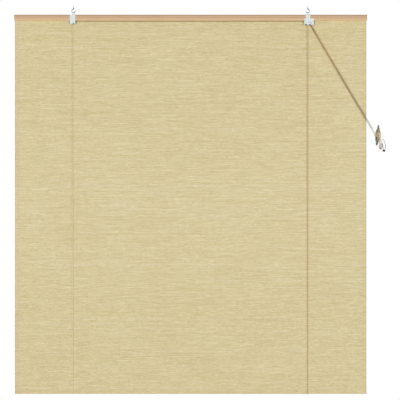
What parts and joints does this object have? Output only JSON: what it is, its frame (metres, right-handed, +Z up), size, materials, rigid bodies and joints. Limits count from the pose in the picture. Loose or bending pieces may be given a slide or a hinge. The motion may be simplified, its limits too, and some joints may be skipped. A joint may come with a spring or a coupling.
{
  "type": "bamboo roll up blind",
  "caption": "Roll-up blind: a woven bamboo mat nailed between two head rails, hung from screw hooks, with pulleys, a cord lock and lift cords tied off on a wall cleat.",
  "frame": {"origin": "midway between the two ceiling hooks, level with the ceiling that their collars bear on", "axes": "+X to the right along the head rail, +Y back to the wall or window, +Z up into the ceiling"},
  "size_m": [1.5843, 0.0457, 1.6626],
  "materials": {
    "rail_wood": "satin",
    "bamboo": "matte",
    "batten_wood": "matte",
    "nail_steel": "satin",
    "hook_steel": "polished",
    "bracket_white": "satin",
    "screw_steel": "satin",
    "pulley_white": "satin",
    "axle_steel": "satin",
    "roller_brass": "satin",
    "cord_cream": "matte",
    "cleat_grey": "satin"
  },
  "bodies": {
    "root": {"front_rail": "rail_wood", "rear_rail": "rail_wood", "rail_nails": "nail_steel", "woven_mat": "bamboo", "hook_left": "hook_steel", "hook_right": "hook_steel", "hanger_left": "bracket_white", "hanger_right": "bracket_white", "hanger_screws": "screw_steel", "pulley_axle_left": "axle_steel", "pulley_axle_right": "axle_steel", "anchor_knots": "cord_cream", "lift_cord_left": "cord_cream", "lift_cord_right": "cord_cream", "pull_cord_left": "cord_cream", "pull_cord_right": "cord_cream", "tail_left": "cord_cream", "tail_right": "cord_cream", "tail_knot": "cord_cream", "cleat": "cleat_grey", "cleat_screws": "screw_steel", "cord_winding": "cord_cream"},
    "bottom_bar": {"bottom_batten": "batten_wood", "batten_nails": "nail_steel"},
    "left_wheel": {"pulley_left": "pulley_white"},
    "right_wheel": {"pulley_right": "pulley_white"},
    "lock_slider": {"lock_axle": "axle_steel"},
    "lock_wheel": {"lock_roller": "roller_brass"}
  },
  "joints": [
    {"name": "raise", "type": "slide", "parent": "root", "child": "bottom_bar", "axis": [0, 0, 1], "range_m": [0, 1.5], "deforming": ["woven_mat", "lift_cord_left", "lift_cord_right"]},
    {"name": "left_pulley_spin", "type": "hinge", "parent": "root", "child": "left_wheel", "pos_m": [-0.5011, -0.0063, -0.0609], "axis": [0, 1, 0], "continuous": true},
    {"name": "right_pulley_spin", "type": "hinge", "parent": "root", "child": "right_wheel", "pos_m": [0.5018, -0.0063, -0.0609], "axis": [0, 1, 0], "continuous": true},
    {"name": "lock_slide", "type": "slide", "parent": "root", "child": "lock_slider", "axis": [0.766, 0, -0.6428], "range_m": [0, 0.004]},
    {"name": "lock_roller_spin", "type": "hinge", "parent": "lock_slider", "child": "lock_wheel", "pos_m": [0.51135, -0.0063, -0.0624], "axis": [0, 1, 0], "continuous": true}
  ],
  "couplings": [
    {"joint": "left_pulley_spin", "follows": "raise", "rad_per_m": 476.19},
    {"joint": "right_pulley_spin", "follows": "raise", "rad_per_m": 476.19}
  ]
}
